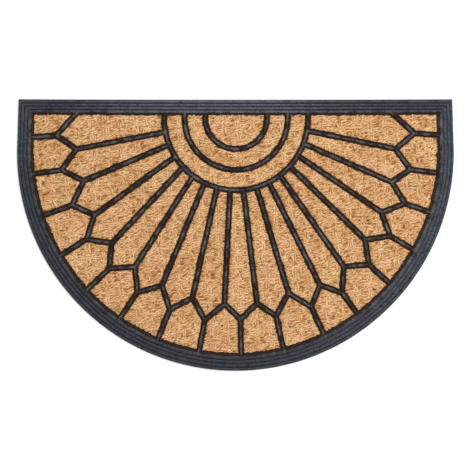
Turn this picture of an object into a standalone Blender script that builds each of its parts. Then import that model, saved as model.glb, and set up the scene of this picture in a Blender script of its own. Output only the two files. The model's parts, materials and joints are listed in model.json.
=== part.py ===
"""Half-round doormat: a rubber moulding with a ridged border and a raised sunburst grid,
which grips a woven coir cloth and shows it through the windows of the grid.

+X runs along the straight edge, +Y points from the round edge to the straight edge, and
the origin is on the surface that the mat lies on, under the middle of its outline.
"""

import math
from collections import namedtuple

import bmesh
import bpy
from mathutils import Vector

# Distances inwards from the straight edge, from the two short sides and from the round edge
Inset = namedtuple("Inset", "straight side rounded")
# A height, and how far an outline has grown outwards where it passes that height
Level = namedtuple("Level", "height growth")

# The outline: a half disc whose straight edge stands a short way above its centre
ROUND_RADIUS = 0.375
SIDE_LENGTH = 0.091
SIDE_LEAN = 0.0027
EDGE_HOLLOW = 0.0009
ROUND_STEPS = 72
STRAIGHT_STEPS = 8
SIDE_TO_ROUND_ANGLE = math.radians(30)

# Heights above the floor
BACKING_TOP = 0.0024
CLOTH_BOTTOM = 0.0027
CLOTH_TOP = 0.0043
GRID_BOTTOM = 0.0046
GRID_TOP = 0.0074
PANEL_TOP = 0.0080

# The border: the outer groove of each ridge, from the edge of the mat inwards, and its crown
Ridge = namedtuple("Ridge", "groove crown")
RIDGES = (
    Ridge(groove=Inset(0.0, 0.0, 0.0), crown=0.0042),
    Ridge(groove=Inset(0.0063, 0.0046, 0.0057), crown=0.0054),
    Ridge(groove=Inset(0.0116, 0.0105, 0.0124), crown=0.0065),
    Ridge(groove=Inset(0.0175, 0.0169, 0.0187), crown=GRID_TOP),
)
EDGE_WALL = 0.0028
GROOVE_HALF_WIDTH = 0.0005
GROOVE_DEPTH = 0.0013
SHOULDER_WIDTH = 0.0009

# Where the border's inner wall, the cloth's rim and the coir that shows lie
BORDER_INNER = Inset(0.0238, 0.0241, 0.0256)
POCKET = Inset(0.0200, 0.0203, 0.0212)
CLOTH_RIM = Inset(0.0206, 0.0209, 0.0218)
COIR_INNER = Inset(0.0269, 0.0286, 0.0304)

# From a rib's centre line to the rib's own wall and to the coir beside it
RIB_HALF_WIDTH = 0.0029
COIR_CLEARANCE = 0.0053

# Each window widens upwards, which rounds the ribs' crowns; each coir panel narrows at its top
WINDOW_LEVELS = (
    Level(height=(CLOTH_TOP + GRID_BOTTOM) / 2, growth=-0.0002),
    Level(height=0.0062, growth=0.0),
    Level(height=0.0070, growth=0.0004),
    Level(height=GRID_TOP, growth=0.0012),
    Level(height=0.0077, growth=0.0022),
)
PANEL_LEVELS = (
    Level(height=(CLOTH_BOTTOM + CLOTH_TOP) / 2, growth=0.0),
    Level(height=0.0072, growth=0.0),
    Level(height=0.0077, growth=-0.0005),
    Level(height=PANEL_TOP, growth=-0.0015),
)

# The sun: a half disc and two bands
SUN_CENTRE = Vector((0.0010, 0.2003))
SUN_RADII = (0.0530, 0.0886, 0.1235)

# The rays and the zigzag round them, on two circles about a centre a little off the mat's middle
PETALS = 17
FAN_CENTRE = Vector((0.0030, 0.1533))
TIP_RADIUS = 0.2724
VALLEY_RADIUS = 0.3044
FAN_STEP = math.radians(11.75)
FAN_LEAN = math.radians(1.25)
RAY_ROOT_TURN = math.radians(0.5)
FLATTEST_SPOKE = math.radians(4)

# Where the hand-cut mould strays furthest from an even fan: outwards, and on round the fan
Stray = namedtuple("Stray", "out on")
TIP_STRAYS = {
    0: Stray(out=0.0125, on=-0.0005),
    1: Stray(out=0.0035, on=-0.003),
    2: Stray(out=-0.0025, on=-0.0045),
    10: Stray(out=-0.0045, on=0.0015),
    11: Stray(out=0.0055, on=0.001),
    12: Stray(out=0.004, on=-0.0035),
    16: Stray(out=-0.001, on=0.003),
    17: Stray(out=0.002, on=0.0055),
}
VALLEY_STRAYS = {
    0: Stray(out=0.0065, on=0.005),
    2: Stray(out=-0.0035, on=-0.0005),
    8: Stray(out=-0.0065, on=-0.001),
    9: Stray(out=-0.0045, on=-0.001),
    11: Stray(out=0.0055, on=-0.0045),
    15: Stray(out=-0.005, on=-0.0015),
}
NO_STRAY = Stray(out=0.0, on=0.0)

# The fineness of the grid's curves, and the shortest edge that an outline keeps
ARC_STEP = 0.006
SHORTEST_EDGE = 0.0018
SAME_POINT = 0.000001
SMOOTH_ANGLE = math.radians(30)

RUBBER_COLOUR = (0.051, 0.047, 0.050, 1.0)
RUBBER_ROUGHNESS = 0.62
COIR_COLOUR = (0.62, 0.34, 0.155, 1.0)
COIR_ROUGHNESS = 0.95

STRAIGHT_EDGE_Y = (SIDE_LENGTH + ROUND_RADIUS) / 2
ROUND_CENTRE = Vector((0.0, STRAIGHT_EDGE_Y - SIDE_LENGTH))


def clear_scene():
    for item in list(bpy.data.objects):
        bpy.data.objects.remove(item)


def material(name, colour, roughness):
    surface = bpy.data.materials.new(name)
    surface.use_nodes = True
    shader = surface.node_tree.nodes["Principled BSDF"]
    shader.inputs["Base Color"].default_value = colour
    shader.inputs["Roughness"].default_value = roughness
    shader.inputs["Metallic"].default_value = 0.0
    return surface


def moved_in(inset, distance):
    return Inset(*(value + distance for value in inset))


def on_fan(centre, radius, angle):
    """A point of a fan whose angles run from -X round by -Y to +X."""
    return centre + radius * Vector((-math.cos(angle), -math.sin(angle)))


def mat_outline(inset):
    """The mat's outline moved in by an inset, anticlockwise from its top left corner."""
    corner_y = STRAIGHT_EDGE_Y - inset.straight
    corner_x = ROUND_RADIUS - SIDE_LEAN * (corner_y - ROUND_CENTRE.y) / SIDE_LENGTH - inset.side
    points = [Vector((-corner_x, corner_y))]
    for step in range(ROUND_STEPS + 1):
        angle = math.pi * step / ROUND_STEPS
        turned = min(angle, math.pi - angle) / SIDE_TO_ROUND_ANGLE
        share = min(1.0, turned)
        own_inset = inset.side + (inset.rounded - inset.side) * share
        points.append(on_fan(ROUND_CENTRE, ROUND_RADIUS - own_inset, angle))
    points.append(Vector((corner_x, corner_y)))
    for step in range(1, STRAIGHT_STEPS):
        across = 1 - 2 * step / STRAIGHT_STEPS
        points.append(Vector((corner_x * across, corner_y - EDGE_HOLLOW * (1 - across ** 2))))
    return points


def keep_left(outline, start, end, clearance):
    """Cut an outline by a straight rib, keeping what lies to the left of start to end."""
    along = (end - start).normalized()
    inward = Vector((-along.y, along.x))
    depths = [(point - start).dot(inward) - clearance for point in outline]
    kept = []
    for index, point in enumerate(outline):
        if depths[index - 1] * depths[index] < 0:
            share = depths[index - 1] / (depths[index - 1] - depths[index])
            kept.append(outline[index - 1].lerp(point, share))
        if depths[index] >= 0:
            kept.append(point)
    return kept


def circle_stops(start, end, centre, radius):
    """The shares of the way from start to end at which a circle is crossed."""
    run = end - start
    offset = start - centre
    half_b = offset.dot(run) / run.length_squared
    root = half_b ** 2 - (offset.length_squared - radius ** 2) / run.length_squared
    if root <= 0:
        return []
    shares = (-half_b - math.sqrt(root), -half_b + math.sqrt(root))
    return [share for share in shares if 0 < share < 1]


def arc_between(centre, start, end, anticlockwise):
    """Points inside the arc from start to end about a centre."""
    first = math.atan2(start.y - centre.y, start.x - centre.x)
    last = math.atan2(end.y - centre.y, end.x - centre.x)
    if anticlockwise:
        sweep = (last - first) % math.tau
    else:
        sweep = -((first - last) % math.tau)
    radius = (start - centre).length
    steps = max(1, math.ceil(abs(sweep) * radius / ARC_STEP))
    angles = [first + sweep * step / steps for step in range(1, steps)]
    return [centre + radius * Vector((math.cos(angle), math.sin(angle))) for angle in angles]


def keep_round(outline, centre, radius, inside):
    """Cut an outline by a round rib, keeping what lies inside or outside its circle."""
    runs = []
    for start, end in zip(outline, outline[1:] + outline[:1]):
        stops = [0.0] + circle_stops(start, end, centre, radius) + [1.0]
        for first, last in zip(stops, stops[1:]):
            run = (start.lerp(end, first), start.lerp(end, last))
            if (((run[0] + run[1]) / 2 - centre).length < radius) == inside:
                runs.append(run)
    kept = []
    for run, following in zip(runs, runs[1:] + runs[:1]):
        kept.append(run[0])
        if (run[1] - following[0]).length > SAME_POINT:
            kept.append(run[1])
            kept.extend(arc_between(centre, run[1], following[0], inside))
    return kept


def bend(points, index):
    """How sharply an outline turns at one of its points."""
    before = points[index] - points[index - 1]
    after = points[(index + 1) % len(points)] - points[index]
    return before.angle(after)


def without_short_edges(outline):
    """Drop the flatter end of each edge that is too short to keep."""
    points = list(outline)
    index = 0
    while index < len(points):
        if (points[index] - points[index - 1]).length < SHORTEST_EDGE:
            flatter = min(index, (index - 1) % len(points), key=lambda end: bend(points, end))
            points.pop(flatter)
            index = 0
        else:
            index += 1
    return points


def grown(outline, distance):
    """Move every edge of an anticlockwise outline outwards by a distance."""
    moved = []
    for index, point in enumerate(outline):
        before = (point - outline[index - 1]).normalized()
        after = (outline[(index + 1) % len(outline)] - point).normalized()
        first = Vector((before.y, -before.x))
        second = Vector((after.y, -after.x))
        moved.append(point + (first + second) * distance / (1 + first.dot(second)))
    return moved


def fan_angle(place):
    """The angle of a place of the fan, which leans a little to the right at its bottom."""
    even = math.pi / 2 + FAN_STEP * (place - PETALS / 2)
    return even + FAN_LEAN * math.sin(even)


def fan_points(radius, places, strays):
    """One end of the zigzag's bars at each place of the fan, with the mould's own strays."""
    points = {}
    for index, place in places:
        angle = fan_angle(place)
        stray = strays.get(index, NO_STRAY)
        onward = Vector((math.sin(angle), -math.cos(angle)))
        points[index] = on_fan(FAN_CENTRE, radius + stray.out, angle) + onward * stray.on
    return points


def grid_ribs():
    """The ends of the ribs: tips, valleys, the rays' roots and the spokes' outer ends."""
    tips = fan_points(TIP_RADIUS, [(k, k) for k in range(PETALS + 1)], TIP_STRAYS)
    valleys = fan_points(VALLEY_RADIUS, [(k, k + 0.5) for k in range(PETALS)], VALLEY_STRAYS)
    roots = {}
    for k in range(1, PETALS):
        root_angle = math.pi * k / PETALS + RAY_ROOT_TURN
        roots[k] = on_fan(SUN_CENTRE, SUN_RADII[-1], root_angle)
    ends = {}
    for k, valley in valleys.items():
        spoke_angle = min(max(fan_angle(k + 0.5), FLATTEST_SPOKE), math.pi - FLATTEST_SPOKE)
        ends[k] = on_fan(valley, ROUND_RADIUS - VALLEY_RADIUS, spoke_angle)
    return tips, valleys, roots, ends


def straight_cells():
    """The ribs round each cell outside the sun, anticlockwise, as pairs of ends."""
    tips, valleys, roots, ends = grid_ribs()
    last = PETALS - 1
    cells = []
    for k in range(PETALS):
        ribs = [(tips[k], valleys[k]), (valleys[k], tips[k + 1])]
        if k > 0:
            ribs.append((roots[k], tips[k]))
        if k < last:
            ribs.append((tips[k + 1], roots[k + 1]))
        cells.append((ribs, True))
    for k in range(1, PETALS):
        spokes = [(valleys[k - 1], ends[k - 1]), (ends[k], valleys[k])]
        cells.append((spokes + [(valleys[k], tips[k]), (tips[k], valleys[k - 1])], False))
    cells.append(([(ends[0], valleys[0]), (valleys[0], tips[0])], False))
    cells.append(([(valleys[last], ends[last]), (tips[PETALS], valleys[last])], False))
    return cells


def cell_outlines(border, clearance):
    """The outline of every window of the grid, moved in from the border and from the ribs."""
    whole = mat_outline(border)
    outlines = []
    for ribs, beside_sun in straight_cells():
        outline = whole
        for start, end in ribs:
            outline = keep_left(outline, start, end, clearance)
        if beside_sun:
            outline = keep_round(outline, SUN_CENTRE, SUN_RADII[-1] + clearance, inside=False)
        outlines.append(outline)
    inner = None
    for radius in SUN_RADII:
        outline = keep_round(whole, SUN_CENTRE, radius - clearance, inside=True)
        if inner is not None:
            outline = keep_round(outline, SUN_CENTRE, inner + clearance, inside=False)
        outlines.append(outline)
        inner = radius
    return [without_short_edges(outline) for outline in outlines]


def add_loft(mesh, sections):
    """Add a closed body that passes through outlines of one count, from the lowest up."""
    rings = []
    for outline, height in sections:
        rings.append([mesh.verts.new((point.x, point.y, height)) for point in outline])
    for lower, upper in zip(rings, rings[1:]):
        for index in range(len(lower)):
            side = (lower[index - 1], lower[index], upper[index], upper[index - 1])
            mesh.faces.new(side)
    mesh.faces.new(list(reversed(rings[0])))
    mesh.faces.new(rings[-1])


def new_object(name, bodies, surface):
    """One object from the lofted bodies, shaded smooth where its faces run on."""
    mesh = bmesh.new()
    for sections in bodies:
        add_loft(mesh, sections)
    data = bpy.data.meshes.new(name)
    mesh.to_mesh(data)
    mesh.free()
    data.shade_smooth()
    data.set_sharp_from_angle(angle=SMOOTH_ANGLE)
    data.materials.append(surface)
    item = bpy.data.objects.new(name, data)
    bpy.context.collection.objects.link(item)
    return item


def add_boolean(target, other, operation):
    other.hide_render = True
    other.display_type = "WIRE"
    cut = target.modifiers.new(other.name, "BOOLEAN")
    cut.operation = operation
    cut.solver = "EXACT"
    cut.object = other


def border_sections():
    """The moulding before its windows are cut: the foot, the edge's wall and four ridges."""
    foot = RIDGES[0].groove
    sections = [(mat_outline(foot), 0.0), (mat_outline(foot), EDGE_WALL)]
    for ridge, inner in zip(RIDGES, [later.groove for later in RIDGES[1:]] + [BORDER_INNER]):
        outer_shoulder = moved_in(ridge.groove, GROOVE_HALF_WIDTH + SHOULDER_WIDTH)
        sections.append((mat_outline(outer_shoulder), ridge.crown))
        if inner is BORDER_INNER:
            break
        inner_shoulder = moved_in(inner, -GROOVE_HALF_WIDTH - SHOULDER_WIDTH)
        sections.append((mat_outline(inner_shoulder), ridge.crown))
        floor = ridge.crown - GROOVE_DEPTH
        sections.append((mat_outline(moved_in(inner, -GROOVE_HALF_WIDTH)), floor))
        sections.append((mat_outline(moved_in(inner, GROOVE_HALF_WIDTH)), floor))
    return sections


def grid_bodies(border, clearance, levels):
    """One body for each window of the grid, with its outline grown as its levels say."""
    bodies = []
    for outline in cell_outlines(border, clearance):
        bodies.append([(grown(outline, level.growth), level.height) for level in levels])
    return bodies


def make_rubber():
    surface = material("rubber", RUBBER_COLOUR, RUBBER_ROUGHNESS)
    rubber = new_object("rubber", [border_sections()], surface)
    pocket_body = [(mat_outline(POCKET), BACKING_TOP), (mat_outline(POCKET), GRID_BOTTOM)]
    pocket = new_object("pocket_cutter", [pocket_body], surface)
    windows = grid_bodies(BORDER_INNER, RIB_HALF_WIDTH, WINDOW_LEVELS)
    window_cutter = new_object("window_cutter", windows, surface)
    add_boolean(rubber, pocket, "DIFFERENCE")
    add_boolean(rubber, window_cutter, "DIFFERENCE")


def make_coir_cloth():
    surface = material("coir", COIR_COLOUR, COIR_ROUGHNESS)
    web = [(mat_outline(CLOTH_RIM), CLOTH_BOTTOM), (mat_outline(CLOTH_RIM), CLOTH_TOP)]
    cloth = new_object("coir_cloth", [web], surface)
    panels = grid_bodies(COIR_INNER, COIR_CLEARANCE, PANEL_LEVELS)
    add_boolean(cloth, new_object("panel_guide", panels, surface), "UNION")


clear_scene()
make_rubber()
make_coir_cloth()
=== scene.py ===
"""Half-round coir doormat: the finished surfaces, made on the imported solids."""

import json
import math

import bmesh
import bpy
import numpy as np
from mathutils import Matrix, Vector, noise
from mathutils.geometry import delaunay_2d_cdt

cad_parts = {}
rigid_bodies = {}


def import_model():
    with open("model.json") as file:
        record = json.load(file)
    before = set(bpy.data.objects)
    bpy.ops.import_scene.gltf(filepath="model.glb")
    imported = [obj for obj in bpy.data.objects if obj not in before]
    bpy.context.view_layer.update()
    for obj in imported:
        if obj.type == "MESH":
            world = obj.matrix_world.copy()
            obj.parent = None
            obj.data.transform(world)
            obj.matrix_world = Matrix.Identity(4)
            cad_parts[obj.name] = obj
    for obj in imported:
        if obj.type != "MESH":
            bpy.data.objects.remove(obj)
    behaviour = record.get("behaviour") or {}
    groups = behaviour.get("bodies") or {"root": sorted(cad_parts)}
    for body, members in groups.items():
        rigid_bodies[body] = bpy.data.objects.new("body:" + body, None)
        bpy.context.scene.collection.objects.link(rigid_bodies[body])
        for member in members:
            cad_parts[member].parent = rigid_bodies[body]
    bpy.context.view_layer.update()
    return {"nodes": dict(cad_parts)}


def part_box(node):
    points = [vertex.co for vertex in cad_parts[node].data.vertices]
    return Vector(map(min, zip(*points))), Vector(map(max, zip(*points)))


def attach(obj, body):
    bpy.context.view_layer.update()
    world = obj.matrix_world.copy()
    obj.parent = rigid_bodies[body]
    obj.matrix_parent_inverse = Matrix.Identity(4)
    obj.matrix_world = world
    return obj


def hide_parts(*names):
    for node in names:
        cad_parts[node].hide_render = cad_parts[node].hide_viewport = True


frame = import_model()


# The rubber body: backing sheet and ridged border
# One moulding of black filled rubber, pressed in a steel mould that leaves four rounded
# ridges round the edge, each a little higher than the one outside it.
SIDE_LENGTH = 0.091
SIDE_LEAN = 0.0027
EDGE_HOLLOW = 0.0009
SIDE_TO_ROUND_ANGLE = math.radians(30)
ROUND_STEPS = 200
STRAIGHT_STEPS = 60
SIDE_STEPS = 10
EDGE_WALL = 0.0028
BACKING_TOP = 0.0024
# Each groove's distance in from the straight edge, the sides and the round edge, and its floor
GROOVES = (
    ((0.0, 0.0, 0.0), EDGE_WALL),
    ((0.0063, 0.0046, 0.0057), 0.0029),
    ((0.0116, 0.0105, 0.0124), 0.0041),
    ((0.0175, 0.0169, 0.0187), 0.0052),
    ((0.0238, 0.0241, 0.0264), 0.0056),
)
CROWNS = (0.0042, 0.0054, 0.0065, 0.0074)
RIDGE_STEPS = 10
GROOVE_SHARPNESS = 5.0
SMOOTH_ANGLE = math.radians(50)
# Painted light and shade on the ridges, standing in for light that falls mostly from the straight
# edge's side and from the right: the place, how strongly the crowns are painted lighter than the
# grooves there (below zero the grooves are painted the lighter) and how light the ridges are
# painted. The first goes by metres along the straight edge, the second by degrees from the left
# side round the bottom to the right side.
STRAIGHT_PAINTED_LIGHT = ((-0.27, 1.2, 0.28), (-0.13, 4.4, 0.26), (0.01, 5.2, 0.26),
                 (0.15, 2.0, -0.04), (0.28, 0.3, 0.54))
ROUND_PAINTED_LIGHT = ((-10, 0.45, 0.86), (10, 0.55, 0.42), (50, 0.80, 0.20), (90, 0.60, 0.30),
              (110, -0.20, 0.82), (130, -0.80, 1.36), (150, -1.30, 1.80), (170, -1.50, 1.74))
# How much painted light the border's outer and inner walls take
OUTER_WALL_SWELL = 0.2
INNER_WALL_SWELL = 0.1
# The mark that the ribs carry in full, of coir dust, a warm painted shade on their sides and a
# painted glint on their crowns, rises over the innermost ridge onto the inner wall by this much for
# each reach inward
INNER_WALL_DUST_AND_LIGHT = 0.3
DUST_AND_LIGHT_REACH = 0.003
# The depth of the patches, dull to glinting, whose glint is painted into the colour as well as the
# gloss; what the ribs' dust and painted light add to it; and the fine specks' depth, partly grain
# and partly painted broken highlights
PATCH_DEPTH = 0.8
DUST_AND_LIGHT_PATCH_DEPTH = 5.6
PATCH_MIDDLE = 0.52
SPECK_DEPTH = 4.4
# How much painted light a groove takes, and how much more a crown takes
GROOVE_SHARE = 0.15
CROWN_SHARE = 0.85
RUBBER_ROUGHNESS = (0.40, 0.64)
RUBBER_GLOSS = (0.11, 0.44)
# The border's colours run from painted shade in the grooves to painted light on the crowns
RUBBER_SHADED_GROOVE_COLOUR = (0.0080, 0.0092, 0.0125, 1.0)
RUBBER_LIT_CROWN_COLOUR = (0.0390, 0.0454, 0.0600, 1.0)
# The ribs' colours: a warm brown painted shade on their sides, partly coir dust, and a bluish
# painted glint on their crowns
RIB_SHADED_SIDE_COLOUR = (0.0130, 0.0064, 0.0046, 1.0)
RIB_GLINT_CROWN_COLOUR = (0.0570, 0.0510, 0.0530, 1.0)

mat_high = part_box("rubber")[1]
round_radius = mat_high.x
round_centre = Vector((0.0, mat_high.y - SIDE_LENGTH))


def mat_outline(straight, side, rounded):
    """The mat's outline moved in by its three insets, anticlockwise from the top left corner."""
    corner_y = mat_high.y - straight
    corner_lean = SIDE_LEAN * (corner_y - round_centre.y) / SIDE_LENGTH
    points = []
    for step in range(SIDE_STEPS):
        down = step / SIDE_STEPS
        x = round_radius - side - corner_lean * (1 - down)
        points.append((-x, corner_y + (round_centre.y - corner_y) * down))
    for step in range(ROUND_STEPS + 1):
        angle = math.pi * step / ROUND_STEPS
        share = min(1.0, min(angle, math.pi - angle) / SIDE_TO_ROUND_ANGLE)
        reach = round_radius - side - (rounded - side) * share
        points.append((-reach * math.cos(angle), round_centre.y - reach * math.sin(angle)))
    points += [(-x, y) for x, y in reversed(points[:SIDE_STEPS])]
    corner_x = points[-1][0]
    for step in range(1, STRAIGHT_STEPS):
        across = 1 - 2 * step / STRAIGHT_STEPS
        points.append((corner_x * across, corner_y - EDGE_HOLLOW * (1 - across ** 2)))
    return points


def ridge_profile():
    """Insets and heights across the border, from its outer edge to its inner wall."""
    profile = []
    for (outer, outer_floor), (inner, inner_floor), crown in zip(GROOVES, GROOVES[1:], CROWNS):
        for step in range(RIDGE_STEPS):
            share = 0.5 - 0.5 * math.cos(math.pi * step / RIDGE_STEPS)
            floor = outer_floor if share < 0.5 else inner_floor
            swell = 1 - abs(2 * share - 1) ** GROOVE_SHARPNESS
            inset = [a + (b - a) * share for a, b in zip(outer, inner)]
            profile.append((inset, floor + (crown - floor) * swell, swell))
    return profile


def ridge_painted_light(place, straight):
    """How strongly a place on the border paints the ridges' crowns lighter than their grooves, and
    how light.
    """
    run = place.x if straight else math.degrees(
        math.atan2(round_centre.y - place.y, round_centre.x - place.x))
    if run < -90:
        run += 360
    starts, contrasts, tones = zip(*(STRAIGHT_PAINTED_LIGHT if straight else ROUND_PAINTED_LIGHT))
    return np.interp(run, starts, contrasts), np.interp(run, starts, tones)


def make_rubber_body():
    mesh = bmesh.new()
    painted_light_layer = mesh.verts.layers.float.new("crown")
    dust_and_light_layer = mesh.verts.layers.float.new("coir_dust")
    last_ridge, (wall_inset, wall_floor) = GROOVES[-2][0][0], GROOVES[-1]
    sections = [(GROOVES[0][0], 0.0, OUTER_WALL_SWELL)] + ridge_profile()
    sections += [(wall_inset, wall_floor, INNER_WALL_SWELL), (wall_inset, BACKING_TOP, 0.0)]
    rings = []
    for inset, height, swell in sections:
        ring = [mesh.verts.new((x, y, height)) for x, y in mat_outline(*inset)]
        for vert in ring:
            straight = vert.co.y > mat_high.y - inset[0] - 2 * EDGE_HOLLOW
            contrast, tone = ridge_painted_light(vert.co, straight)
            # Painted light on the ridges' crowns and painted shade in their grooves, as strongly and
            # as light as the place asks
            vert[painted_light_layer] = tone + (swell - 0.5) * contrast
            # The mark of coir dust and of the ribs' painted shade and glint rises over the innermost
            # ridge
            vert[dust_and_light_layer] = INNER_WALL_DUST_AND_LIGHT * max(0.0, inset[0] - last_ridge) / DUST_AND_LIGHT_REACH
        rings.append(ring)
    for lower, upper in zip(rings, rings[1:]):
        for index in range(len(lower)):
            mesh.faces.new((lower[index - 1], lower[index], upper[index], upper[index - 1]))
    mesh.faces.new(list(reversed(rings[0])))
    mesh.faces.new(rings[-1])
    data = bpy.data.meshes.new("rubber_body")
    mesh.to_mesh(data)
    mesh.free()
    data.shade_smooth()
    data.set_sharp_from_angle(angle=SMOOTH_ANGLE)
    return add_object("rubber_body", data)


def add_object(name, data):
    piece = bpy.data.objects.new(name, data)
    bpy.context.collection.objects.link(piece)
    return piece


def new_material(name):
    """An empty node material with its Principled shader."""
    surface = bpy.data.materials.new(name)
    surface.use_nodes = True
    return surface, surface.node_tree, surface.node_tree.nodes["Principled BSDF"]


def add_node(tree, kind, inputs=None, **settings):
    """One node with its settings and its inputs, which are given by name or number."""
    node = tree.nodes.new(kind)
    for name, value in settings.items():
        setattr(node, name, value)
    for name, value in (inputs or {}).items():
        if isinstance(value, bpy.types.NodeSocket):
            tree.links.new(value, node.inputs[name])
        else:
            node.inputs[name].default_value = value
    return node


def reckon(tree, operation, *values, **settings):
    """One step of arithmetic on numbers and sockets."""
    return add_node(tree, "ShaderNodeMath", dict(enumerate(values)), operation=operation,
                    **settings).outputs[0]


def remapped(tree, value, before=(0.0, 1.0), after=(0.0, 1.0)):
    """A value carried from one range to another, and held at its ends."""
    return add_node(tree, "ShaderNodeMapRange", {
        "Value": value, "From Min": before[0], "From Max": before[1],
        "To Min": after[0], "To Max": after[1]}).outputs["Result"]


def cloud(tree, place, scale, detail, roughness=0.5, **settings):
    """A noise that varies from place to place."""
    return add_node(tree, "ShaderNodeTexNoise", {"Vector": place, "Scale": scale, "Detail": detail,
                                                 "Roughness": roughness}, **settings)


def blended(tree, share, first, second, **settings):
    """The first colour, or the second where the share is 1."""
    return add_node(tree, "ShaderNodeMix", {"Factor": share, 6: first, 7: second},
                    data_type="RGBA", **settings).outputs[2]


def bumped(tree, height, strength, distance):
    return add_node(tree, "ShaderNodeBump", {"Height": height, "Strength": strength,
                                             "Distance": distance}).outputs["Normal"]


def mark_of(tree, name):
    """The value that the mesh itself carries under a name."""
    return add_node(tree, "ShaderNodeAttribute", attribute_name=name).outputs["Fac"]


def link_to(tree, shader, sockets):
    for name, socket in sockets.items():
        tree.links.new(socket, shader.inputs[name])


def make_rubber_material():
    surface, tree, shader = new_material("moulded_rubber")
    place = add_node(tree, "ShaderNodeTexCoord").outputs["Object"]
    crown = mark_of(tree, "crown")
    dust_and_light = mark_of(tree, "coir_dust")
    grain = cloud(tree, place, scale=420.0, detail=6.0, roughness=0.78).outputs["Fac"]
    patch = cloud(tree, place, scale=80.0, detail=4.0, roughness=0.62).outputs["Fac"]
    depth = reckon(tree, "MULTIPLY_ADD", dust_and_light, DUST_AND_LIGHT_PATCH_DEPTH, PATCH_DEPTH)
    # Patches and specks that are partly wear and grain and partly painted glints and broken
    # highlights
    glint_and_wear = reckon(tree, "ADD", patch, -PATCH_MIDDLE)
    glint_and_wear = reckon(tree, "MULTIPLY_ADD", glint_and_wear, depth, 0.5)
    speck = reckon(tree, "ADD", grain, -0.5)
    glint_and_wear = reckon(tree, "MULTIPLY_ADD", speck, SPECK_DEPTH, glint_and_wear)
    # The crown value, scaled by the glints and wear, is the painted light: the colour runs from
    # painted shade to painted light, and the gloss rises with it
    shown = reckon(tree, "MULTIPLY_ADD", crown, CROWN_SHARE, GROOVE_SHARE)
    shown = reckon(tree, "MULTIPLY", shown, glint_and_wear, use_clamp=True)
    low = blended(tree, dust_and_light, RUBBER_SHADED_GROOVE_COLOUR, RIB_SHADED_SIDE_COLOUR)
    high = blended(tree, dust_and_light, RUBBER_LIT_CROWN_COLOUR, RIB_GLINT_CROWN_COLOUR)
    link_to(tree, shader, {
        "Base Color": blended(tree, shown, low, high),
        "Roughness": remapped(tree, grain, after=RUBBER_ROUGHNESS),
        "Specular IOR Level": remapped(tree, shown, after=RUBBER_GLOSS),
        "Normal": bumped(tree, grain, strength=0.7, distance=0.0007)})
    return surface


rubber_material = make_rubber_material()
rubber_body = make_rubber_body()
rubber_body.data.materials.append(rubber_material)
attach(rubber_body, "root")


# The grid of ribs
# Bars of the same rubber that the mould leaves standing between the coir panels: three sun
# arcs, the rays, the zigzag round them and the spokes out to the border, cut by hand.
SUN_CENTRE = Vector((0.0010, 0.2003))
SUN_RADII = (0.0530, 0.0886, 0.1235)
PETALS = 17
FAN_CENTRE = Vector((0.0030, 0.1533))
TIP_RADIUS = 0.2724
VALLEY_RADIUS = 0.3044
FAN_STEP = math.radians(11.75)
FAN_LEAN = math.radians(1.25)
RAY_ROOT_TURN = math.radians(0.5)
FLATTEST_SPOKE = math.radians(4)
SPOKE_LENGTH = 0.09
RIB_END_INSET = 0.0205
# Where the hand-cut mould strays from an even fan: outwards, and on round the fan
TIP_STRAYS = {0: (0.0125, -0.0005), 1: (0.0035, -0.003), 2: (-0.0025, -0.0045),
              10: (-0.0045, 0.0015), 11: (0.0055, 0.001), 12: (0.004, -0.0035),
              16: (-0.001, 0.003), 17: (0.002, 0.0055)}
VALLEY_STRAYS = {0: (0.0065, 0.005), 2: (-0.0035, -0.0005), 8: (-0.0065, -0.001),
                 9: (-0.0045, -0.001), 11: (0.0055, -0.0045), 15: (-0.005, -0.0015)}
RIB_WIDTH = 0.0055
RIB_FOOT = 0.0026
RIB_CROWN = 0.0074
RIB_ROUNDING = 0.0023
RIB_ROUNDING_STEPS = 3
RIB_WOBBLE = 0.0007
RIB_WOBBLE_REACH = (2.0, 2.0, 0.3)
GIRTH_NOISE = (0.3, 0.7)
RIB_GIRTH = (0.91, 1.08)
# Between these heights a rib's colour runs from the painted shade of its sides to the painted light
# of its crown
RIB_PAINTED_LIGHT_HEIGHTS = (RIB_CROWN - 0.0010, RIB_CROWN + 0.0001)
RIB_STEP = 0.0032
ARC_STEPS = 48
STOP_STEPS = 100


def on_fan(centre, radius, angle):
    """A point of a fan whose angles run from -X round by -Y to +X."""
    return centre + radius * Vector((-math.cos(angle), -math.sin(angle)))


def fan_angle(place):
    even = math.pi / 2 + FAN_STEP * (place - PETALS / 2)
    return even + FAN_LEAN * math.sin(even)


def fan_point(radius, place, stray):
    angle = fan_angle(place)
    onward = Vector((math.sin(angle), -math.cos(angle)))
    return on_fan(FAN_CENTRE, radius + stray[0], angle) + onward * stray[1]


def border_stop(start, end):
    """Shorten a rib that would run out past the middle of the innermost ridge."""
    for step in range(STOP_STEPS):
        point = start.lerp(end, 1 - step / STOP_STEPS)
        radius = (point - round_centre).length
        beyond_round = point.y < round_centre.y and radius > round_radius - RIB_END_INSET
        beyond_side = point.y >= round_centre.y and abs(point.x) > round_radius - RIB_END_INSET
        if not beyond_round and not beyond_side and point.y < mat_high.y - RIB_END_INSET:
            return point
    return start


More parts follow.
